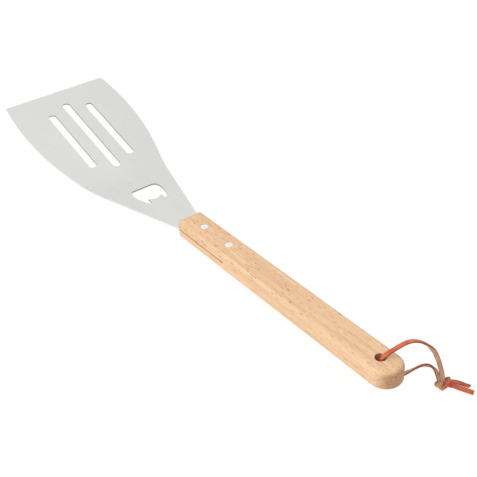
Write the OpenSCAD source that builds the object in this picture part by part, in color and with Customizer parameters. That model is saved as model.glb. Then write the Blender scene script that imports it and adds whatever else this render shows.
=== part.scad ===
// Grill spatula: a bent steel blade let into a wooden handle, with a leather hanging loop.
// The parts are drawn in the handle's own frame: x = 0 is the handle's front end, +X points to the
// tip of the blade and z = 0 is the middle of the saw kerf. at_rest() then lays them on the ground.

/* [Handle] */
// Length of the wooden handle
handle_l = 228; // [180:1:280]
// Width of the handle at its front end
handle_front_w = 21.4; // [21:0.1:26]
// Width of the handle at its round butt
handle_butt_w = 23.2; // [22:0.1:30]
// Thickness of the handle at its front end
handle_front_t = 16; // [14:0.1:20]
// Thickness of the handle at its round butt
handle_butt_t = 14.4; // [13:0.1:20]
// Height over which the long edges are rounded
edge_r = 3; // [1:0.5:4]
// Length over which the edges of the front end are rounded
front_edge_r = 5; // [2:0.5:6]
// Length over which the edges of the butt are rounded
butt_edge_r = 4; // [2:0.5:6]
// Radius of the front end's upright corners
corner_r = 2; // [1:0.5:4]
// Depth of the saw kerf from the front end
kerf_l = 59; // [57:1:70]
// Distance of the hanging hole from the butt
hole_inset = 16.3; // [14:0.1:22]
// Diameter of the hanging hole
hole_d = 7.5; // [6:0.5:9]

/* [Blade] */
// Thickness of the steel
blade_t = 1.2; // [1:0.1:1.5]
// Length of the steel from the handle to the tip, along the sheet
blade_l = 224.4; // [210:0.1:240]
// Width of the neck where it leaves the handle
neck_w = 20.5; // [18:0.1:21]
// Angle at which each side of the neck spreads
neck_spread = 15.65; // [12:0.05:18]
// Distance from the handle at which the sides start to curve
curve_start = 112.6; // [105:0.1:118]
// Radius of the curved sides
side_r = 268; // [240:1:400]
// Distance of the bend's middle from the handle
bend_at = 94.3; // [90:0.1:98]
// Angle of the bend
bend_angle = 16; // [8:1:24]
// Radius of the bend
bend_r = 80; // [60:5:90]
// Width of the ground bevel on the tip edge
bevel_w = 1.6; // [0.5:0.1:3]

/* [Slots] */
// Width of each slot
slot_w = 6.9; // [5:0.1:8]
// Distance between the middles of neighbouring slots
slot_pitch = 18.6; // [16:0.1:22]
// Start of the middle slot, from the handle
mid_slot_start = 109.7; // [108:0.1:120]
// End of the middle slot, from the handle
mid_slot_end = 204.6; // [190:0.1:208]
// Start of the outer slots, from the handle
side_slot_start = 118.2; // [116:0.1:130]
// End of the outer slots, from the handle
side_slot_end = 195.6; // [180:0.1:200]

/* [Bottle opener] */
// Distance of the opener's straight edge from the handle
opener_front = 70.2; // [68:0.1:72]
// Length of the opener, from the straight edge to the notches
opener_l = 25; // [22:0.1:27]
// Greatest width of the opener
opener_w = 25.8; // [23:0.1:27]
// Distance of the opener's widest place from the straight edge
opener_wide_at = 8.6; // [6:0.1:12]
// Radius of the opener's curved sides
opener_side_r = 31; // [25:1:60]
// Width of the tongue that grips the cap
tongue_w = 12.6; // [10:0.1:13.5]
// Length of the tongue
tongue_l = 5.8; // [3:0.1:7]
// Depth of the dip between the tongue's two teeth
tongue_dip = 2.5; // [1:0.1:4]

/* [Rivets] */
// Distance of the front rivet from the front end
front_rivet_at = 21.4; // [18:0.1:24]
// Distance of the rear rivet from the front end
rear_rivet_at = 52.9; // [48:0.1:54]
// Diameter of the heads
rivet_head_d = 6.2; // [6:0.1:8]
// Thickness of the heads
rivet_head_t = 1.4; // [1:0.1:2]
// Diameter of the hollow half's shank
rivet_shank_d = 4; // [3.5:0.1:5]
// Diameter of the solid half's pin
rivet_pin_d = 2.4; // [2:0.1:3]

/* [Lace] */
// Width of the leather lace
lace_w = 3.2; // [2.5:0.1:4]
// Thickness of the leather lace
lace_t = 1.8; // [1.4:0.1:2]
// Radius of the knot's lobes
knot_r = 3.4; // [2.8:0.1:3.5]

/* [Hidden] */

fit = 0.05;               // radial clearance of the rivets in their holes
eps = 0.02;               // overlap that joins the stretches of the blade
kerf_h = blade_t + 0.2;
tang_l = kerf_l - 2;
tang_w = neck_w - 1;
tang_corner_r = 4;
hole_x = hole_inset - handle_l;
opener_corner_r = 4.5;

// The bend: the sheet is flat up to bend_start, then follows an arc, then is flat to the tip.
bend_l = bend_r * bend_angle * PI / 180;
bend_start = bend_at - bend_l / 2;
bend_end_x = bend_start + bend_r * sin(bend_angle);
bend_end_z = bend_r * (1 - cos(bend_angle));
flat_l = blade_l - bend_start - bend_l;
tip_x = bend_end_x + flat_l * cos(bend_angle);
tip_z = bend_end_z + flat_l * sin(bend_angle);
sheet_w = 140;            // wider than the blade at any point

// At rest the tool stands on the lower front edge of the handle and on the outside of the bend.
// Both are round in side view, so the ground is the line that touches two circles from below.
heel_x = -front_edge_r;
heel_z = edge_r - handle_front_t / 2;
bend_out_r = bend_r + blade_t / 2;
reach = norm([bend_start - heel_x, bend_r - heel_z]);
tilt = atan2(bend_r - heel_z, bend_start - heel_x) - asin((bend_out_r - edge_r) / reach);
lift = edge_r + heel_x * sin(tilt) - heel_z * cos(tilt);
butt_low_z = edge_r - handle_butt_t / 2;
lowest_x = (butt_edge_r - handle_l) * cos(tilt) + butt_low_z * sin(tilt) - butt_edge_r;
highest_x = tip_x * cos(tilt) + tip_z * sin(tilt);
mid_x = (lowest_x + highest_x) / 2;

// Route of the lace in the resting frame, from the middle of the hanging hole to the knot.
upper_route = [[-208, 0, 24.5], [-208, 0, 28], [-208.3, -0.8, 31.5], [-209.5, -3, 34.5],
               [-211.5, -6.2, 37.8], [-213.5, -9.6, 40.9], [-215.5, -12.7, 43.4], [-217.6, -16, 44.4],
               [-219.7, -19.5, 43.6], [-221.8, -22.8, 41.4], [-223.8, -26, 37.9], [-225.6, -28.8, 33],
               [-227.2, -31.4, 26], [-228.4, -33.3, 19.5], [-229.4, -35, 13], [-230.2, -36.2, 6.5]];
lower_route = [[-208, 0, 24.5], [-208, 0, 20.5], [-208.3, -0.8, 16.5], [-209.5, -3, 13],
               [-211.5, -6.2, 11.6], [-213.5, -9.6, 12.4], [-215.5, -12.7, 14.6], [-217.3, -15.5, 16.8],
               [-219.2, -18.6, 19.1], [-221.2, -21.8, 21.5], [-223.1, -24.8, 22.4], [-225, -27.8, 21],
               [-226.8, -30.5, 17.4], [-228, -32.5, 12.5], [-228.7, -33.8, 8], [-229.2, -34.8, 4.5]];
tail_upper_route = [[-232.3, -40, 4.8], [-234, -42.3, 5], [-236, -44.5, 4.6], [-237.8, -46.4, 3.6],
                    [-239.6, -48.4, 2.5], [-241.3, -50.2, 1.8]];
tail_lower_route = [[-232.8, -39.5, 2.8], [-235, -41.5, 2.6], [-237.5, -43.2, 2.1],
                    [-240.5, -45, 1.7], [-243.4, -46.8, 1.4], [-246.4, -48.4, 1.3]];
knot_middle = [-230.8, -37, 3.8];
knot_spread = [1.5, 2.1, 0];

steel = [0.84, 0.845, 0.83];
beech = [0.90, 0.74, 0.57];
bright = [0.94, 0.94, 0.94];
leather = [0.80, 0.42, 0.28];

// Lays a piece drawn in the handle's frame on the ground, with the whole tool centred on x = 0.
module at_rest() translate([-mid_x, 0, lift]) rotate([0, tilt, 0]) children();

// Half the handle's thickness, measured d behind the front end.
function half_t(d) = (handle_front_t + (handle_butt_t - handle_front_t) * d / handle_l) / 2;

// Half the width of the sheet at distance u from the handle, along the sheet.
function half_w(u) =
    u < curve_start ? neck_w / 2 + u * tan(neck_spread)
    : neck_w / 2 + curve_start * tan(neck_spread) - side_r * cos(neck_spread)
      + side_r * cos(asin((u - curve_start) / side_r - sin(neck_spread)));

// Where distance u along the sheet falls when the bent blade is seen from above.
function plan_x(u) =
    u < bend_start ? u
    : u < bend_start + bend_l ? bend_start + bend_r * sin((u - bend_start) / bend_r * 180 / PI)
    : bend_end_x + (u - bend_start - bend_l) * cos(bend_angle);

// Distances along the sheet at which the outline has a point.
outline_u = concat([0], [for (u = [bend_start : 4 : curve_start]) u],
                   [for (i = [0 : 24]) curve_start + (blade_l - curve_start) * i / 24]);

module outline() {
    last = len(outline_u) - 1;
    polygon(concat([for (u = outline_u) [plan_x(u), half_w(u)]],
                   [for (i = [last : -1 : 0]) [plan_x(outline_u[i]), -half_w(outline_u[i])]]));
}

// A straight slot with round ends, from one distance to another.
module slot(from, to, width) {
    r = width / 2;
    translate([from + r, -r]) square([to - from - width, width]);
    for (x = [from + r, to - r]) translate([x, 0]) circle(r = r, $fn = 48);
}

// The bottle opener: an eye with curved sides, whose rear edge is a tongue between two notches.
module opener() {
    rear = opener_front - opener_l;
    wide_x = opener_front - opener_wide_at;
    corner_y = opener_w / 2 - opener_corner_r - 0.3;
    side_y = opener_side_r - opener_w / 2;
    tooth_x = rear + tongue_l;
    dip_r = (pow(tongue_w / 2 - 1.3, 2) + pow(tongue_dip, 2)) / (2 * tongue_dip);
    difference() {
        intersection() {
            hull() {
                for (side = [-1, 1]) translate([opener_front - opener_corner_r, side * corner_y])
                    circle(r = opener_corner_r, $fn = 64);
                translate([rear, -opener_w / 2]) square([opener_l / 2, opener_w]);
            }
            translate([wide_x, side_y]) circle(r = opener_side_r, $fn = 180);
            translate([wide_x, -side_y]) circle(r = opener_side_r, $fn = 180);
        }
        difference() {
            translate([rear - 2, -tongue_w / 2]) square([tongue_l + 2, tongue_w]);
            translate([tooth_x - tongue_dip + dip_r, 0]) circle(r = dip_r, $fn = 64);
        }
    }
}

// Moves from the handle's frame to the flat of the blade beyond the bend, with u kept along X.
module on_flat()
    translate([bend_end_x, 0, bend_end_z]) rotate([0, -bend_angle, 0])
        translate([-bend_start - bend_l, 0, 0]) children();

// The sheet in side view: flat neck, bend, then the flat blade.
module bent_sheet() {
    translate([0, -sheet_w / 2, -blade_t / 2]) cube([bend_start + eps, sheet_w, blade_t]);
    translate([bend_start, 0, bend_r]) rotate([90, 0, 0]) rotate([0, 0, -90])
        rotate_extrude(angle = bend_angle, $fn = 360)
            translate([bend_r - blade_t / 2, -sheet_w / 2]) square([blade_t, sheet_w]);
    on_flat() translate([bend_start + bend_l - eps, -sheet_w / 2, -blade_t / 2])
        cube([flat_l + eps, sheet_w, blade_t]);
}

module tang() translate([0, 0, -blade_t / 2]) {
    r = tang_corner_r;
    translate([r - tang_l, -tang_w / 2, 0]) cube([tang_l - r + eps, tang_w, blade_t]);
    translate([-tang_l, r - tang_w / 2, 0]) cube([r, tang_w - 2 * r, blade_t]);
    for (side = [-1, 1]) translate([r - tang_l, side * (tang_w / 2 - r), 0])
        cylinder(r = r, h = blade_t, $fn = 48);
}

module blade() color(steel) at_rest() difference() {
    union() {
        intersection() {
            bent_sheet();
            translate([0, 0, -10]) linear_extrude(height = 100) outline();
        }
        tang();
    }
    on_flat() translate([0, 0, -5]) linear_extrude(height = 10) {
        slot(mid_slot_start, mid_slot_end, slot_w);
        for (side = [-1, 1]) translate([0, side * slot_pitch])
            slot(side_slot_start, side_slot_end, slot_w);
    }
    translate([0, 0, -5]) linear_extrude(height = 10) opener();
    for (d = [front_rivet_at, rear_rivet_at]) translate([-d, 0, -5])
        cylinder(d = rivet_shank_d + 2 * fit, h = 10, $fn = 48);
    on_flat() translate([blade_l - bevel_w, -sheet_w / 2, blade_t / 2])
        rotate([0, atan2(blade_t * 0.6, bevel_w), 0]) cube([5, sheet_w, 5]);
}

// The handle is the hull of thin layers, five for each rounded edge, which draw in towards its faces.
module handle_layer(side, a) {
    in = 1 - sin(a);
    rise = edge_r * (1 - cos(a));
    butt_z = side * (handle_butt_t / 2 - rise - eps / 2);
    front_z = side * (handle_front_t / 2 - rise - eps / 2);
    butt_r = handle_butt_w / 2 - butt_edge_r * in;
    front_r = max(corner_r - edge_r * in, 0.4);
    front_y = handle_front_w / 2 - edge_r * in - front_r;
    translate([handle_butt_w / 2 - handle_l, 0, butt_z])
        cylinder(r = butt_r, h = eps, center = true, $fn = 60);
    for (y = [-front_y, front_y]) translate([-front_edge_r * in - front_r, y, front_z])
        cylinder(r = front_r, h = eps, center = true, $fn = 16);
}

module handle_bar() hull()
    for (side = [-1, 1], a = [0 : 22.5 : 90]) handle_layer(side, a);

module handle() color(beech) at_rest() difference() {
    handle_bar();
    translate([-kerf_l, -sheet_w / 2, -kerf_h / 2]) cube([kerf_l + 5, sheet_w, kerf_h]);
    for (d = [front_rivet_at, rear_rivet_at]) translate([-d, 0, 0]) {
        seat = half_t(d) - rivet_head_t - fit;
        translate([0, 0, -20]) cylinder(d = rivet_shank_d + 2 * fit, h = 40, $fn = 48);
        translate([0, 0, seat]) cylinder(d = rivet_head_d + 2 * fit, h = 10, $fn = 64);
        translate([0, 0, -seat - 10]) cylinder(d = rivet_head_d + 2 * fit, h = 10, $fn = 64);
    }
    translate([hole_x, 0, -20]) cylinder(d = hole_d, h = 40, $fn = 64);
}

// The hollow half goes in from above, and the solid half from below.
module rivet_female(d) color(bright) at_rest() translate([-d, 0, 0]) difference() {
    seat = half_t(d) - rivet_head_t;
    union() {
        translate([0, 0, seat]) cylinder(d = rivet_head_d, h = rivet_head_t, $fn = 64);
        translate([0, 0, 1 - seat]) cylinder(d = rivet_shank_d, h = 2 * seat - 0.5, $fn = 48);
    }
    translate([0, 0, -seat]) cylinder(d = rivet_pin_d + 2 * fit, h = 2 * seat - 1, $fn = 32);
}

module rivet_male(d) color(bright) at_rest() translate([-d, 0, -half_t(d)]) {
    cylinder(d = rivet_head_d, h = rivet_head_t, $fn = 64);
    cylinder(d = rivet_pin_d, h = 2 * half_t(d) - rivet_head_t - 3, $fn = 32);
}

module front_rivet_female() rivet_female(front_rivet_at);
module front_rivet_male() rivet_male(front_rivet_at);
module rear_rivet_female() rivet_female(rear_rivet_at);
module rear_rivet_male() rivet_male(rear_rivet_at);

// A flat strip swept along a route. Its section has eight sides and keeps its width level.
strip_section = [[0.5, 0.25], [0.3, 0.5], [-0.3, 0.5], [-0.5, 0.25],
                 [-0.5, -0.25], [-0.3, -0.5], [0.3, -0.5], [0.5, -0.25]];
loop_side = [0.846, -0.534, 0];   // level direction across the plane in which the loop stands
function unit(v) = v / norm(v);
function along(p, i) = unit(p[min(i + 1, len(p) - 1)] - p[max(i - 1, 0)]);
function ring(p, i) =
    let (t = along(p, i), n = unit(cross(t, loop_side)), s = cross(n, t))
    [for (q = strip_section) p[i] + s * q[0] * lace_w + n * q[1] * lace_t];
function band(i, n) = [for (k = [0 : n - 1])
    [i * n + k, (i + 1) * n + k, (i + 1) * n + (k + 1) % n, i * n + (k + 1) % n]];
module strip(p) {
    n = len(strip_section);
    last = len(p) - 1;
    polyhedron(
        points = [for (i = [0 : last]) each ring(p, i)],
        faces = concat(
            [[for (k = [0 : n - 1]) k]],
            [for (i = [0 : last - 1]) each band(i, n)],
            [[for (k = [n - 1 : -1 : 0]) last * n + k]]),
        convexity = 8);
}

module lace_upper_strand() color(leather) strip(upper_route);
module lace_lower_strand() color(leather) strip(lower_route);
module lace_tail_upper() color(leather) strip(tail_upper_route);
module lace_tail_lower() color(leather) strip(tail_lower_route);
module lace_knot() color(leather) hull() for (side = [-1, 1])
    translate(knot_middle + side * knot_spread) sphere(r = knot_r, $fn = 24);

blade();
handle();
front_rivet_female();
front_rivet_male();
rear_rivet_female();
rear_rivet_male();
lace_upper_strand();
lace_lower_strand();
lace_knot();
lace_tail_upper();
lace_tail_lower();
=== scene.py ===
"""Looks of the grill spatula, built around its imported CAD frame."""
import math

import bmesh
import bpy
from mathutils import Matrix, Vector, noise
from mathutils.geometry import delaunay_2d_cdt


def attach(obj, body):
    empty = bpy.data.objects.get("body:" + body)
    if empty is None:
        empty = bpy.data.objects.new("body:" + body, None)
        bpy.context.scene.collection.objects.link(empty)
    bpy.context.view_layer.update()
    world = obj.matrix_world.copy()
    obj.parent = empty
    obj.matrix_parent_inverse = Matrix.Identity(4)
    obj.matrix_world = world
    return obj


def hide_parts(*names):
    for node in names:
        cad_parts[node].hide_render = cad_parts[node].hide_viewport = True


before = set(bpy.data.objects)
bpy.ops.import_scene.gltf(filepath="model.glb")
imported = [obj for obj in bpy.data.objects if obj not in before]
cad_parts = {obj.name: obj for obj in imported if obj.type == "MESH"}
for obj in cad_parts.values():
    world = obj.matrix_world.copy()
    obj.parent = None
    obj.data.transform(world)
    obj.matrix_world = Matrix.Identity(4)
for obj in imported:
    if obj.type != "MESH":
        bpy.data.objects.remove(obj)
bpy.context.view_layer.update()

MM = 0.001

# Sizes in millimetres, in the handle's frame: x = 0 at its front end, z = 0 in the sheet's middle.
HANDLE_L, FRONT_W, BUTT_W, FRONT_T, BUTT_T = 228.0, 21.4, 23.2, 16.0, 14.4
EDGE_R, FRONT_EDGE_R, BUTT_EDGE_R, CORNER_R = 3.0, 5.0, 4.0, 2.0
KERF_L, KERF_H, HOLE_X, HOLE_D = 59.0, 1.4, -211.7, 7.5
SHEET_T, BLADE_L, NECK_W, NECK_SPREAD = 1.2, 224.4, 20.5, math.radians(15.65)
CURVE_START, SIDE_R = 112.6, 268.0
BEND_AT, BEND_ANGLE, BEND_R, BEVEL_W = 94.3, math.radians(16), 80.0, 1.6
BEND_L = BEND_R * BEND_ANGLE
BEND_START = BEND_AT - BEND_L / 2
RIVETS = {"front": 21.4, "rear": 52.9}
HEAD_D, HEAD_T, SHANK_D, PIN_D = 6.2, 1.4, 4.0, 2.4

# Where the handle's frame lies when the tool rests on the ground.
TILT, LIFT, MID_X = math.radians(4.635267), 7.579584, -2.960738
REST = (Matrix.Translation((-MID_X * MM, 0, LIFT * MM)) @ Matrix.Rotation(TILT, 4, "Y")
        @ Matrix.Scale(MM, 4))


# ---------------------------------------------------------------- camera

# The picture's right, its down, and the way from the object to the camera.
RIGHT = Vector((-0.5999167, -0.8000440, -0.0054176))
DOWN = Vector((-0.4955387, 0.3768820, -0.7825612))
VIEW = Vector((-0.6281249, 0.4667870, 0.6225505))


def add_camera():
    data = bpy.data.cameras.new("camera")
    data.lens, data.sensor_width = 66.197, 36
    data.clip_start, data.clip_end = 0.01, 50
    cam = bpy.data.objects.new("camera", data)
    turn = Matrix((RIGHT, -DOWN, VIEW)).transposed()
    cam.matrix_world = Matrix.Translation((-0.4583875, 0.2949878, 0.4265028)) @ turn.to_4x4()
    bpy.context.scene.collection.objects.link(cam)
    bpy.context.scene.camera = cam


add_camera()


# ---------------------------------------------------------------- materials

class Nodes:
    """A small helper that builds one node material."""

    def __init__(self, name):
        self.mat = bpy.data.materials.new(name)
        self.mat.use_nodes = True
        self.tree = self.mat.node_tree
        self.bsdf = self.tree.nodes["Principled BSDF"]

    def add(self, kind, inputs=None, **props):
        node = self.tree.nodes.new("ShaderNode" + kind)
        for key, value in props.items():
            setattr(node, key, value)
        for key, value in (inputs or {}).items():
            self.put(node.inputs[key], value)
        return node

    def put(self, socket, value):
        if isinstance(value, bpy.types.NodeSocket):
            self.tree.links.new(value, socket)
        else:
            socket.default_value = value

    def set(self, **values):
        for key, value in values.items():
            self.put(self.bsdf.inputs[key.replace("_", " ")], value)

    def coords(self, scale, turn=(0, 0, 0)):
        where = self.add("TexCoord").outputs["Object"]
        if any(turn):
            where = self.add("Mapping", {"Vector": where, "Rotation": turn}).outputs["Vector"]
        return self.add("Mapping", {"Vector": where, "Scale": scale}).outputs["Vector"]

    def noise(self, scale, detail=3.0, turn=(0, 0, 0), rough=0.5):
        return self.add("TexNoise", {"Vector": self.coords(scale, turn), "Scale": 1.0,
                                     "Detail": detail, "Roughness": rough}).outputs["Fac"]

    def ramp(self, fac, low, high, low_out=0.0, high_out=1.0):
        return self.add("MapRange", {"Value": fac, "From Min": low, "From Max": high,
                                     "To Min": low_out, "To Max": high_out}).outputs["Result"]

    def math(self, operation, a, b=0.0):
        return self.add("Math", {0: a, 1: b}, operation=operation).outputs[0]

    def mix(self, fac, a, b, blend="MIX"):
        node = self.add("Mix", data_type="RGBA", blend_type=blend)
        self.put(node.inputs[0], fac)
        self.put(node.inputs[6], a)
        self.put(node.inputs[7], b)
        return node.outputs[2]

    def bump(self, height, strength, distance):
        out = self.add("Bump", {"Height": height, "Strength": strength, "Distance": distance})
        self.put(self.bsdf.inputs["Normal"], out.outputs["Normal"])


FLAT = (0, -TILT, 0)        # turns the row's frame into the handle's


def steel(name, colour, rough, lines):
    """Satin stainless steel, brushed along the blade."""
    m = Nodes(name)
    brush = m.noise((9, 1500, 1500), 4, FLAT)
    fine = m.noise((40, 5200, 5200), 2, FLAT)
    cloud = m.noise((22, 30, 30), 4)
    streak = m.math("ADD", m.math("MULTIPLY", brush, 0.6), m.math("MULTIPLY", fine, 0.4))
    dark = tuple(c * 0.93 for c in colour[:3]) + (1,)
    tone = m.mix(m.ramp(streak, 0.38, 0.62), dark, colour)
    m.set(Base_Color=tone, Metallic=1.0, Anisotropic=0.45,
          Roughness=m.math("ADD", m.ramp(streak, 0.35, 0.65, rough - 0.03, rough + 0.04),
                           m.ramp(cloud, 0.35, 0.7, -0.02, 0.04)))
    m.bump(streak, lines, 0.00004)
    return m.mat


def wood(name):
    """Oiled beech: fine grain and short flecks along the bar, faint rings, and darker open end grain."""
    m = Nodes(name)
    drift = m.noise((5, 22, 22), 3, FLAT)
    where = m.add("SeparateXYZ", {"Vector": m.coords((1, 1, 1), FLAT)})
    y = m.math("ADD", where.outputs["Y"], 0.013)
    z = m.math("ADD", where.outputs["Z"], 0.019)
    away = m.math("SQRT", m.math("ADD", m.math("MULTIPLY", y, y), m.math("MULTIPLY", z, z)))
    ring = m.math("SINE", m.math("MULTIPLY", m.math("ADD", away, m.math("MULTIPLY", drift, 0.016)), 2100.0))
    streak = m.noise((14, 330, 330), 5, FLAT, 0.62)
    fine = m.noise((55, 2300, 2300), 3, FLAT, 0.6)
    fleck = m.ramp(m.noise((170, 1250, 1250), 1, FLAT), 0.61, 0.70)
    patch = m.noise((12, 38, 38), 2, FLAT)
    tone = m.mix(m.ramp(streak, 0.34, 0.66), (0.69, 0.44, 0.25, 1), (0.80, 0.55, 0.345, 1))
    tone = m.mix(m.ramp(ring, -0.2, 1.0, 0.0, 0.26), tone, (0.62, 0.365, 0.19, 1))
    tone = m.mix(m.ramp(fine, 0.46, 0.72, 0.0, 0.40), tone, (0.52, 0.29, 0.145, 1))
    tone = m.mix(m.math("MULTIPLY", fleck, 0.62), tone, (0.27, 0.13, 0.06, 1))
    tone = m.mix(m.ramp(patch, 0.35, 0.7, 0.0, 0.30), tone, (0.76, 0.50, 0.30, 1))
    facing = m.add("SeparateXYZ", {"Vector": m.add("TexCoord").outputs["Normal"]}).outputs["X"]
    end = m.ramp(m.math("ABSOLUTE", facing), 0.22, 0.86)
    pore = m.ramp(m.noise((110, 900, 500), 4, FLAT, 0.75), 0.36, 0.62)
    grain_end = m.mix(pore, (0.56, 0.315, 0.16, 1), (0.31, 0.145, 0.068, 1))
    tone = m.mix(m.math("MULTIPLY", end, 0.9), tone, grain_end)
    height = m.math("ADD", m.math("MULTIPLY", fine, 0.7), m.math("MULTIPLY", fleck, -0.6))
    m.set(Base_Color=tone, Roughness=m.ramp(streak, 0.3, 0.7, 0.46, 0.60), Specular_IOR_Level=0.3)
    m.bump(height, 0.4, 0.00007)
    return m.mat


def leather(name, colour, dark, rough, pores):
    m = Nodes(name)
    patch = m.noise((260, 260, 260), 4)
    pore = m.noise((2600, 2600, 2600), 3)
    tone = m.mix(m.ramp(patch, 0.35, 0.68), dark, colour)
    tone = m.mix(m.math("MULTIPLY", m.ramp(pore, 0.56, 0.75), 0.35), tone, dark)
    m.set(Base_Color=tone, Roughness=m.ramp(pore, 0.3, 0.7, rough - 0.06, rough + 0.08),
          Specular_IOR_Level=0.35)
    m.bump(m.math("ADD", pore, m.math("MULTIPLY", patch, 0.8)), pores, 0.00012)
    return m.mat


STEEL = steel("satin_steel", (0.735, 0.742, 0.712, 1), 0.38, 0.25)
GROUND = steel("ground_steel", (0.93, 0.93, 0.92, 1), 0.30, 0.12)
# Painted shade: a dark grey steel for the walls of the slots, the opener and the rivet holes, so that these
# walls read as shaded.
HOLE_WALL_SHADE_STEEL = steel("hole_wall_shade_steel", (0.26, 0.26, 0.25, 1), 0.50, 0.2)
RIVET = steel("rivet_metal", (0.90, 0.895, 0.885, 1), 0.24, 0.10)
BEECH = wood("oiled_beech")
DYED = leather("leather_dyed", (0.64, 0.150, 0.062, 1), (0.44, 0.085, 0.032, 1), 0.48, 0.5)
RAW = leather("leather_raw", (0.60, 0.345, 0.205, 1), (0.42, 0.215, 0.125, 1), 0.74, 0.9)
# The cut edges are the leather's own darker brown, deepened further as painted shade so that the gaps between
# the knot's turns read dark.
CUT_EDGE_AND_SHADE = leather("leather_cut_edge_and_shade", (0.27, 0.115, 0.06, 1), (0.13, 0.058, 0.034, 1), 0.7, 0.8)


# ---------------------------------------------------------------- mesh helpers

def add_object(name, bm, materials, body, stands_for, sharp=35):
    mesh = bpy.data.meshes.new(name)
    bm.normal_update()
    bm.to_mesh(mesh)
    bm.free()
    for mat in materials:
        mesh.materials.append(mat)
    mesh.polygons.foreach_set("use_smooth", [True] * len(mesh.polygons))
    mesh.set_sharp_from_angle(angle=math.radians(sharp))
    obj = bpy.data.objects.new(name, mesh)
    bpy.context.scene.collection.objects.link(obj)
    weigh = obj.modifiers.new("weighted_normals", "WEIGHTED_NORMAL")
    weigh.keep_sharp = True
    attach(obj, body)
    if stands_for:
        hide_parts(*stands_for)
    return obj


def smooth_path(points, step):
    """A Catmull-Rom line through points, sampled about every step millimetres."""
    p = [Vector(q) for q in points]
    p = [2 * p[0] - p[1]] + p + [2 * p[-1] - p[-2]]
    out = []
    for a, b, c, d in zip(p, p[1:], p[2:], p[3:]):
        n = max(2, round((c - b).length / step))
        for i in range(n):
            t = i / n
            out.append(0.5 * (2 * b + (c - a) * t + (2 * a - 5 * b + 4 * c - d) * t * t
                              + (3 * b - a - 3 * c + d) * t ** 3))
    return out + [p[-2]]


def strap_section(width, thick, n=5):
    """Outline of a flat thong with rounded edges, from its dyed face round, and each side's material."""
    r = thick * 0.42
    pts = []
    for k, (sx, sy) in enumerate(((1, 1), (-1, 1), (-1, -1), (1, -1))):
        for i in range(n):
            a = math.radians(90 * k + 90 * i / (n - 1))
            pts.append((sx * (width / 2 - r) + r * math.cos(a), sy * (thick / 2 - r) + r * math.sin(a)))
    mats = []
    for i, (x0, y0) in enumerate(pts):
        x1, y1 = pts[(i + 1) % len(pts)]
        y = (y0 + y1) / 2
        # The edges take the third material: the dark cut edge, which also carries painted shade.
        mats.append(0 if y > thick * 0.30 else 1 if y < -thick * 0.30 else 2)
    return pts, mats


def strap(bm, path, facing, width, thick, seed):
    """Sweeps a thong along path. facing(f) is how far its dyed face has turned from VIEW, in degrees."""
    section, mats = strap_section(width, thick)
    rings, n = [], len(path)
    for i, p in enumerate(path):
        t = (path[min(i + 1, n - 1)] - path[max(i - 1, 0)]).normalized()
        flat, turn = t.cross(VIEW).normalized(), math.radians(facing(i / (n - 1)))
        up = flat.cross(t) * math.cos(turn) + flat * math.sin(turn)
        side = up.cross(t).normalized()
        grow = 1 + SWELL * noise.noise(Vector((p.x * 0.35 + seed, p.y * 0.35, p.z * 0.35)))
        edge = END_SHRINK if i in (0, n - 1) else 1
        ring = [(p + side * x * grow * edge + up * y * (2 - grow) * edge) * MM for x, y in section]
        rings.append([bm.verts.new((q.x, q.y, max(q.z, FLOOR_GAP))) for q in ring])
    m = len(section)
    for a, b in zip(rings, rings[1:]):
        for k in range(m):
            f = bm.faces.new((a[k], a[(k + 1) % m], b[(k + 1) % m], b[k]))
            f.material_index = mats[k]
    for ring, flip in ((rings[0], True), (rings[-1], False)):
        f = bm.faces.new(reversed(ring) if flip else ring)
        f.material_index = 2
    return rings


# ---------------------------------------------------------------- leather lace (free cords)

UPPER = [(-208, 0, 24.5), (-208, 0, 28), (-208.3, -0.8, 31.5), (-209.5, -3, 34.5),
         (-211.5, -6.2, 37.8), (-213.5, -9.6, 40.9), (-215.5, -12.7, 43.4), (-217.6, -16, 44.4),
         (-219.7, -19.5, 43.6), (-221.8, -22.8, 41.4), (-223.8, -26, 37.9), (-225.6, -28.8, 33),
         (-227.2, -31.4, 26), (-228.4, -33.3, 19.5), (-229.4, -35, 13), (-230.2, -36.2, 6.5)]
LOWER = [(-208, 0, 24.5), (-208, 0, 20.5), (-208.3, -0.8, 16.5), (-209.5, -3, 13),
         (-211.5, -6.2, 11.6), (-213.5, -9.6, 12.4), (-215.5, -12.7, 14.6), (-217.3, -15.5, 16.8),
         (-219.2, -18.6, 19.1), (-221.2, -21.8, 21.5), (-223.1, -24.8, 22.4), (-225, -27.8, 21),
         (-226.8, -30.5, 17.4), (-228, -32.5, 12.5), (-228.7, -33.8, 8), (-229.2, -34.8, 4.5)]
TAIL_UPPER = [(-232.3, -40, 4.8), (-234, -42.3, 5), (-236, -44.5, 4.6), (-237.8, -46.4, 3.6),
              (-239.6, -48.4, 2.5), (-241.3, -50.2, 1.8)]
TAIL_LOWER = [(-232.8, -39.5, 2.8), (-235, -41.5, 2.6), (-237.5, -43.2, 2.1),
              (-240.5, -45, 1.7), (-243.4, -46.8, 1.4), (-246.4, -48.4, 1.3)]
LACE_W, LACE_T = 3.2, 1.7
FLOOR_GAP = 0.1 * MM
SWELL, END_SHRINK = 0.05, 0.9       # unevenness of a thong's width, and its cut ends against the rest
LEATHER = (DYED, RAW, CUT_EDGE_AND_SHADE)


def keyed(*keys):
    """A function that eases through pairs of place and value."""
    def value(f):
        for (f0, v0), (f1, v1) in zip(keys, keys[1:]):
            if f <= f1:
                t = max(0.0, (f - f0) / (f1 - f0))
                return v0 + (v1 - v0) * t * t * (3 - 2 * t)
        return keys[-1][1]
    return value


def thong(name, route, seed, facing):
    path = smooth_path(route, 0.6)
    bm = bmesh.new()
    strap(bm, path, facing, LACE_W, LACE_T, seed=seed)
    return add_object(name, bm, LEATHER, "loop", [name], 60), path


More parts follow.
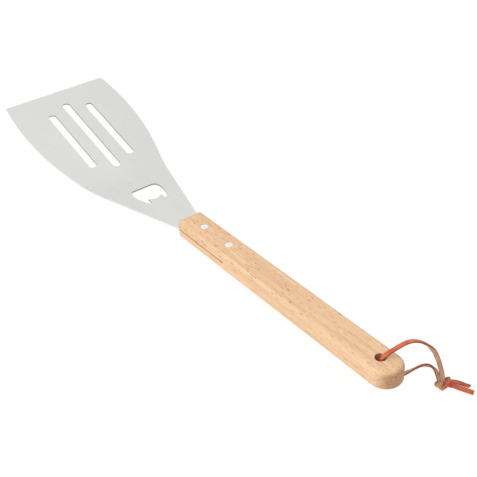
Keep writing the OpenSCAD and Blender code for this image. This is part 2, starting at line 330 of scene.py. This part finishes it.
upper, upper_path = thong("lace_upper_strand", UPPER, 1.0,
                          keyed((0, -50), (0.28, -46), (0.47, -84), (0.66, -142), (1, -158)))
lower, lower_path = thong("lace_lower_strand", LOWER, 7.0,
                          keyed((0, 100), (0.42, 116), (0.56, 76), (0.67, 68), (0.84, 140), (1, 150)))
tail_upper, _ = thong("lace_tail_upper", TAIL_UPPER, 11.0, keyed((0, 30), (0.4, 48), (1, 54)))
tail_lower, _ = thong("lace_tail_lower", TAIL_LOWER, 17.0, keyed((0, -10), (0.5, 8), (1, 14)))


def knot():
    """An overhand knot: a bight at its left, a slanting band wound over it, and the turns behind."""
    middle = Vector((-230.8, -37.0, 3.9))
    bm = bmesh.new()

    def at(right, down, near):
        return middle + RIGHT * right + DOWN * down + VIEW * near

    def round_slant(right, down, slant, reach, depth, start, sweep, n, creep):
        """A turn round the knot whose front runs slantwise, slant degrees from the picture's down."""
        a = math.radians(slant)
        along, over = Vector((-math.sin(a), math.cos(a))), Vector((math.cos(a), math.sin(a)))
        out = []
        for i in range(n + 1):
            b = math.radians(start + sweep * i / n)
            q = along * reach * math.sin(b) + over * creep * (i / n - 0.5)
            out.append(at(right + q.x, down + q.y, depth * math.cos(b)))
        return out

    strap(bm, round_slant(1.0, 0.1, 44, 3.5, 3.2, -165, 335, 56, 0.9), keyed((0, -26), (1, -26)), 3.7, 1.35,
          seed=23.0)
    strap(bm, round_slant(-1.9, 0.5, -28, 2.6, 2.3, -150, 300, 44, -0.8), keyed((0, 180), (1, 180)), 3.1, 1.4,
          seed=31.0)
    bight = []
    for i in range(37):
        b = math.radians(-100 + 200 * i / 36)
        bight.append(at(-2.5 - 2.0 * math.cos(b), 0.5 + 0.35 * math.sin(b), 1.9 * math.sin(b) - 0.1))
    strap(bm, bight, keyed((0, 180), (1, 180)), 3.4, 1.4, seed=29.0)
    for right, down, near, a, b in ((0.2, 0.1, -0.3, 3.9, 2.4), (-3.2, 0.5, 0.0, 2.05, 1.95)):
        lump = bmesh.ops.create_icosphere(bm, subdivisions=4, radius=1.0)["verts"]
        for v in lump:
            q = v.co * (1 + 0.05 * noise.noise(v.co * 2.4 + Vector((right, down, 3))))
            p = at(right + q.x * a, down + q.y * b, near + q.z * b)
            v.co = (p.x * MM, p.y * MM, max(p.z * MM, FLOOR_GAP))
        for f in {f for v in lump for f in v.link_faces}:
            f.material_index = 1
    return add_object("lace_knot", bm, LEATHER, "loop", ["lace_knot"], 60)


lace_knot = knot()


# ---------------------------------------------------------------- blade

def half_width(u):
    if u < 0:
        return NECK_W / 2 - 0.5
    if u < CURVE_START:
        return NECK_W / 2 + u * math.tan(NECK_SPREAD)
    s = (u - CURVE_START) / SIDE_R - math.sin(NECK_SPREAD)
    return (NECK_W / 2 + CURVE_START * math.tan(NECK_SPREAD)
            - SIDE_R * math.cos(NECK_SPREAD) + SIDE_R * math.sqrt(1 - s * s))


def on_sheet(u, y, w):
    """The point at distance u along the bent sheet, y across it and w above its middle."""
    if u < BEND_START:
        return Vector((u, y, w))
    if u < BEND_START + BEND_L:
        a = (u - BEND_START) / BEND_R
        return Vector((BEND_START + (BEND_R - w) * math.sin(a), y, BEND_R - (BEND_R - w) * math.cos(a)))
    q, c, s = u - BEND_START - BEND_L, math.cos(BEND_ANGLE), math.sin(BEND_ANGLE)
    x0, z0 = BEND_START + BEND_R * s, BEND_R * (1 - c)
    return Vector((x0 + q * c - w * s, y, z0 + q * s + w * c))


def arc(cx, cy, r, a0, a1, n):
    return [(cx + r * math.cos(math.radians(a0 + (a1 - a0) * i / n)),
             cy + r * math.sin(math.radians(a0 + (a1 - a0) * i / n))) for i in range(n + 1)]


def blade_outline():
    tang_l, tang_w = KERF_L - 2, NECK_W - 1
    side = arc(-tang_l + 4, tang_w / 2 - 4, 4, 180, 90, 8) + [(-30, tang_w / 2), (-0.1, tang_w / 2)]
    side += [(u, half_width(u)) for u in [0, 10, 20, 30, 40, 50, 60, 70]]
    steps = 64
    side += [(u, half_width(u)) for u in [76 + (BLADE_L - 76 - 0.5) * i / steps for i in range(steps + 1)]]
    side += arc(BLADE_L - 0.5, half_width(BLADE_L) - 0.5, 0.5, 80, 0, 4)
    return side[::-1] + [(u, -y) for u, y in side]


def slot_outline(start, end, y, width):
    r = width / 2
    return arc(start + r, y, r, 270, 90, 20) + arc(end - r, y, r, 90, -90, 20)


def opener_outline():
    """The bottle opener: an eye with curved sides, whose rear is a tongue between two notches."""
    front, rear, wide, half = 70.2, 45.2, 61.6, 12.9
    corner_r, side_r, tooth, tongue, dip_r, dip_x = 4.5, 31.0, 51.0, 6.3, 6.25, 54.75
    pts = arc(front - corner_r, half - corner_r - 0.3, corner_r, 0, 80, 12)
    start, end = pts[-1][0], rear + 0.3
    for i in range(1, 25):
        x = start + (end - start) * i / 24
        pts.append((x, half - side_r + math.sqrt(side_r ** 2 - (x - wide) ** 2)))
    pts += [(rear + 0.05, 8.15), (rear, 7.95), (rear, tongue + 0.3), (rear + 0.09, tongue + 0.09),
            (rear + 0.3, tongue), (tooth - 0.25, tongue), (tooth - 0.07, tongue - 0.07),
            (tooth, tongue - 0.25), (tooth, 5.2)]
    reach = math.degrees(math.asin(5.0 / dip_r))
    pts += arc(dip_x, 0, dip_r, 180 - reach, 180, 8)
    return pts + [(x, -y) for x, y in reversed(pts[1:-1])]


def inside(p, loop):
    hit = False
    for (x0, y0), (x1, y1) in zip(loop, loop[1:] + loop[:1]):
        if (y0 > p[1]) != (y1 > p[1]) and p[0] < (x1 - x0) * (p[1] - y0) / (y1 - y0) + x0:
            hit = not hit
    return hit


def offset(loop, d):
    """The loop moved by d into the metal, with d measured square to each side."""
    area = sum(x0 * y1 - x1 * y0 for (x0, y0), (x1, y1) in zip(loop, loop[1:] + loop[:1]))
    sign = 1 if area > 0 else -1
    out = []
    for i, p in enumerate(loop):
        a, b = loop[i - 1], loop[(i + 1) % len(loop)]
        n0 = Vector((a[1] - p[1], p[0] - a[0])).normalized() * sign
        n1 = Vector((p[1] - b[1], b[0] - p[0])).normalized() * sign
        n = n0 + n1
        if n.length < 1e-6:
            n = n0
        n = n.normalized() / max(0.5, n.normalized().dot(n0))
        out.append((p[0] + n.x * d, p[1] + n.y * d))
    return out


def face_height(u):
    """Height of the top face above the sheet's middle: the tip edge is ground down."""
    return SHEET_T / 2 - max(0.0, u - (BLADE_L - BEVEL_W)) / BEVEL_W * SHEET_T * 0.6


def blade():
    outer = blade_outline()
    holes = [slot_outline(109.7, 204.6, 0, 6.9), slot_outline(118.2, 195.6, 18.6, 6.9),
             slot_outline(118.2, 195.6, -18.6, 6.9), opener_outline()]
    for d in RIVETS.values():
        holes.append(arc(-d, 0, SHANK_D / 2 + 0.05, 0, 345, 23))
    loops = [outer] + holes
    rim = 0.22
    inner = [offset(lp, rim if k == 0 else -rim) for k, lp in enumerate(loops)]
    bm = bmesh.new()
    points, edges = [], []
    for lp in inner:
        base = len(points)
        points += [Vector(p) for p in lp]
        edges += [(base + i, base + (i + 1) % len(lp)) for i in range(len(lp))]
    rim_count = len(points)
    u = -54.0
    while u < BLADE_L - BEVEL_W - 1:
        half = half_width(u)
        n = max(2, round(half / 2.2))
        for k in range(-n, n + 1):
            y = half * 0.97 * k / n
            ok = inside((u, y), inner[0]) and not any(inside((u, y), lp) for lp in inner[1:])
            near = min((p - Vector((u, y))).length for p in points[:rim_count])
            if ok and near > 1.0:
                points.append(Vector((u, y)))
        u += 2.4
    base = len(points)
    half = half_width(BLADE_L - BEVEL_W) - rim
    row = [Vector((BLADE_L - BEVEL_W, half * k / 20)) for k in range(-20, 21)]
    points += row
    edges += [(base + i, base + i + 1) for i in range(40)]
    verts, _, faces, *_ = delaunay_2d_cdt(points, edges, [], 0, 1e-5)
    keep = []
    for f in faces:
        c = sum((verts[i] for i in f), Vector((0, 0))) / len(f)
        if inside(c, inner[0]) and not any(inside(c, lp) for lp in inner[1:]):
            keep.append(f)
    def place(v, w):
        return REST @ on_sheet(v[0], v[1], w)
    top = [bm.verts.new(place(v, face_height(v[0]))) for v in verts]
    low = [bm.verts.new(place(v, -SHEET_T / 2)) for v in verts]
    for f in keep:
        ground = sum(verts[i][0] for i in f) / len(f) > BLADE_L - BEVEL_W
        bm.faces.new([top[i] for i in f]).material_index = 1 if ground else 0
        bm.faces.new([low[i] for i in reversed(f)])
    used = 0
    for k, (lp, near) in enumerate(zip(loops, inner)):
        n = len(lp)
        rows = [[top[used + i] for i in range(n)]]
        for face, degrees in ((1, 45), (1, 90), (-1, 90), (-1, 45)):
            a = math.radians(degrees)
            ring = [(p[0] + (q[0] - p[0]) * math.sin(a), p[1] + (q[1] - p[1]) * math.sin(a))
                    for p, q in zip(near, lp)]
            drop = rim * 0.8 * (1 - math.cos(a))
            rows.append([bm.verts.new(place(v, face_height(v[0]) - drop if face > 0
                                            else drop - SHEET_T / 2)) for v in ring])
        rows.append([low[used + i] for i in range(n)])
        for r0, r1 in zip(rows, rows[1:]):
            for i in range(n):
                j = (i + 1) % n
                f = bm.faces.new((r0[j], r0[i], r1[i], r1[j]))
                # The walls of the holes take the dark grey steel, which is painted shade.
                f.material_index = 2 if k and r0 in rows[1:4] else 0
        used += n
    bmesh.ops.delete(bm, geom=[v for v in bm.verts if not v.link_faces], context="VERTS")
    bmesh.ops.recalc_face_normals(bm, faces=bm.faces)
    return add_object("blade", bm, (STEEL, GROUND, HOLE_WALL_SHADE_STEEL), "spatula", ["blade"], 30)


# ---------------------------------------------------------------- handle

def half_t(d):
    return (FRONT_T + (BUTT_T - FRONT_T) * d / HANDLE_L) / 2


def handle_ring(side, a):
    """One level loop round the handle, drawn in towards the face by the rounding at angle a."""
    inset, rise = 1 - math.sin(a), EDGE_R * (1 - math.cos(a))
    butt_r = BUTT_W / 2 - BUTT_EDGE_R * inset
    front_r = max(CORNER_R - EDGE_R * inset, 0.4)
    front_x = -FRONT_EDGE_R * inset - front_r
    front_y = FRONT_W / 2 - EDGE_R * inset - front_r
    butt_x = BUTT_W / 2 - HANDLE_L
    pts = arc(front_x, front_y, front_r, 0, 88, 8)
    end = arc(butt_x, 0, butt_r, 90, 270, 64)
    pts += [(pts[-1][0] + (end[0][0] - pts[-1][0]) * k / 24, pts[-1][1] + (end[0][1] - pts[-1][1]) * k / 24)
            for k in range(1, 24)]
    pts += end
    back = arc(front_x, -front_y, front_r, -88, 0, 8)
    pts += [(end[-1][0] + (back[0][0] - end[-1][0]) * k / 24, end[-1][1] + (back[0][1] - end[-1][1]) * k / 24)
            for k in range(1, 24)]
    pts += back
    return [Vector((x, y, side * (half_t(-x) - rise))) for x, y in pts]


def cutter(name, bm):
    mesh = bpy.data.meshes.new(name)
    bmesh.ops.recalc_face_normals(bm, faces=bm.faces)
    bm.to_mesh(mesh)
    bm.free()
    obj = bpy.data.objects.new(name, mesh)
    bpy.context.scene.collection.objects.link(obj)
    return obj


def lathe(bm, profile, where, n=64):
    """Turns profile, pairs of radius and height, round the upright line through where. Closed at r = 0."""
    rows = []
    for r, z in profile:
        if r < 1e-6:
            rows.append([bm.verts.new(REST @ Vector((where, 0, z)))])
        else:
            rows.append([bm.verts.new(REST @ Vector((where + r * math.cos(2 * math.pi * k / n),
                                                     r * math.sin(2 * math.pi * k / n), z)))
                         for k in range(n)])
    for a, b in zip(rows, rows[1:]):
        for k in range(n):
            j = (k + 1) % n
            quad = [a[k % len(a)], a[j % len(a)], b[j % len(b)], b[k % len(b)]]
            face = list(dict.fromkeys(quad))
            if len(face) > 2:
                bm.faces.new(face)


def handle():
    bm = bmesh.new()
    angles = [math.radians(a) for a in range(0, 91, 10)]
    loops = ([handle_ring(1, a) for a in angles] + [handle_ring(-1, a) for a in reversed(angles)])
    rows = [[bm.verts.new(REST @ p) for p in lp] for lp in loops]
    n = len(rows[0])
    for a, b in zip(rows, rows[1:]):
        for k in range(n):
            bm.faces.new((a[k], b[k], b[(k + 1) % n], a[(k + 1) % n]))
    bm.faces.new(rows[0])
    bm.faces.new(reversed(rows[-1]))
    body = cutter("handle_bar", bm)
    bm = bmesh.new()
    kerf = bmesh.ops.create_cube(bm, size=1.0)["verts"]
    for v in kerf:
        v.co = REST @ Vector((-KERF_L / 2 + 3 + v.co.x * (KERF_L + 6), v.co.y * 40, v.co.z * KERF_H))
    kerf_cut = cutter("kerf_cut", bm)
    bm = bmesh.new()
    h = half_t(-HOLE_X)
    r = HOLE_D / 2
    lathe(bm, [(0, -h - 1), (r + 1.1, -h - 1), (r, -h + 0.1),
               (r, h - 0.1), (r + 1.1, h + 1), (0, h + 1)], HOLE_X, 64)
    hole_cut = cutter("hole_cut", bm)
    cuts = [kerf_cut, hole_cut]
    for d in RIVETS.values():
        h, seat, r = half_t(d), half_t(d) - HEAD_T - 0.05, HEAD_D / 2 + 0.05
        s = SHANK_D / 2 + 0.05
        bm = bmesh.new()
        lathe(bm, [(0, -h - 1), (r + 1.1, -h - 1), (r, -h + 0.1), (r, -seat), (s, -seat), (s, seat),
                   (r, seat), (r, h - 0.1), (r + 1.1, h + 1), (0, h + 1)], -d, 64)
        cuts.append(cutter("rivet_cut", bm))
    for c in cuts:
        cut = body.modifiers.new("cut", "BOOLEAN")
        cut.operation, cut.solver, cut.object = "DIFFERENCE", "EXACT", c
    bpy.context.view_layer.update()
    done = bpy.data.meshes.new_from_object(body.evaluated_get(bpy.context.evaluated_depsgraph_get()))
    for o in [body] + cuts:
        bpy.data.objects.remove(o)
    bm = bmesh.new()
    bm.from_mesh(done)
    bpy.data.meshes.remove(done)
    return add_object("handle", bm, (BEECH,), "spatula", ["handle"], 32)


# ---------------------------------------------------------------- rivets

def rivet(which, d):
    h, seat, r = half_t(d), half_t(d) - HEAD_T, HEAD_D / 2
    bore = PIN_D / 2 + 0.05
    bm = bmesh.new()
    lathe(bm, [(0, h + 0.02), (r * 0.5, h + 0.01), (r - 0.35, h - 0.02), (r - 0.12, h - 0.07), (r, h - 0.2),
               (r, seat), (SHANK_D / 2, seat), (SHANK_D / 2, 1 - seat), (bore, 1 - seat),
               (bore, seat - 1), (0, seat - 1)], -d, 64)
    bmesh.ops.recalc_face_normals(bm, faces=bm.faces)
    add_object(which + "_rivet_female", bm, (RIVET,), "spatula", [which + "_rivet_female"], 40)
    bm = bmesh.new()
    lathe(bm, [(0, -h - 0.02), (r * 0.5, -h - 0.01), (r - 0.35, 0.02 - h), (r - 0.12, 0.07 - h), (r, 0.2 - h),
               (r, -seat), (PIN_D / 2, -seat), (PIN_D / 2, h - 3.2), (PIN_D / 2 - 0.2, h - 3), (0, h - 3)],
          -d, 64)
    bmesh.ops.recalc_face_normals(bm, faces=bm.faces)
    add_object(which + "_rivet_male", bm, (RIVET,), "spatula", [which + "_rivet_male"], 40)


blade()
handle()
for which, d in RIVETS.items():
    rivet(which, d)


# ---------------------------------------------------------------- floor and light

def floor():
    mesh = bpy.data.meshes.new("floor")
    s = 30.0
    mesh.from_pydata([(-s, -s, 0), (s, -s, 0), (s, s, 0), (-s, s, 0)], [], [(0, 1, 2, 3)])
    m = Nodes("floor_pale")
    # A light table: it glows, so that shadows stay faint.
    m.set(Base_Color=(0.22, 0.22, 0.22, 1), Roughness=0.9, Specular_IOR_Level=0.1,
          Emission_Color=(1, 1, 1, 1), Emission_Strength=0.82)
    mesh.materials.append(m.mat)
    obj = bpy.data.objects.new("floor", mesh)
    bpy.context.scene.collection.objects.link(obj)


def light(name, where, target, size, power):
    data = bpy.data.lights.new(name, "AREA")
    data.shape, data.size, data.size_y, data.energy = "RECTANGLE", size[0], size[1], power
    obj = bpy.data.objects.new(name, data)
    obj.location = where
    obj.rotation_euler = (Vector(target) - Vector(where)).to_track_quat("-Z", "Y").to_euler()
    bpy.context.scene.collection.objects.link(obj)


floor()
light("key", (0.45, 1.6, 0.8), (0, 0, 0), (1.6, 1.0), 15)
light("top", (-0.5, 0.5, 1.9), (0, 0, 0), (1.6, 1.6), 11)

world = bpy.data.worlds.new("studio")
world.use_nodes = True
tree = world.node_tree
# A broad bright patch of sky opposite the camera, and a greyer sky elsewhere.
where = tree.nodes.new("ShaderNodeTexCoord").outputs["Generated"]
patch = tree.nodes.new("ShaderNodeVectorMath")
patch.operation = "DOT_PRODUCT"
patch.inputs[1].default_value = Vector((0.56, -0.48, 0.675)).normalized()
tree.links.new(where, patch.inputs[0])
fade = tree.nodes.new("ShaderNodeMapRange")
fade.interpolation_type = "SMOOTHSTEP"
for key, value in {"From Min": 0.25, "From Max": 0.9, "To Min": 0.6, "To Max": 1.0}.items():
    fade.inputs[key].default_value = value
tree.links.new(patch.outputs["Value"], fade.inputs["Value"])
tree.links.new(fade.outputs["Result"], tree.nodes["Background"].inputs["Strength"])
tree.nodes["Background"].inputs["Color"].default_value = (1, 1, 1, 1)
bpy.context.scene.world = world
bpy.context.scene.view_settings.view_transform = "Standard"
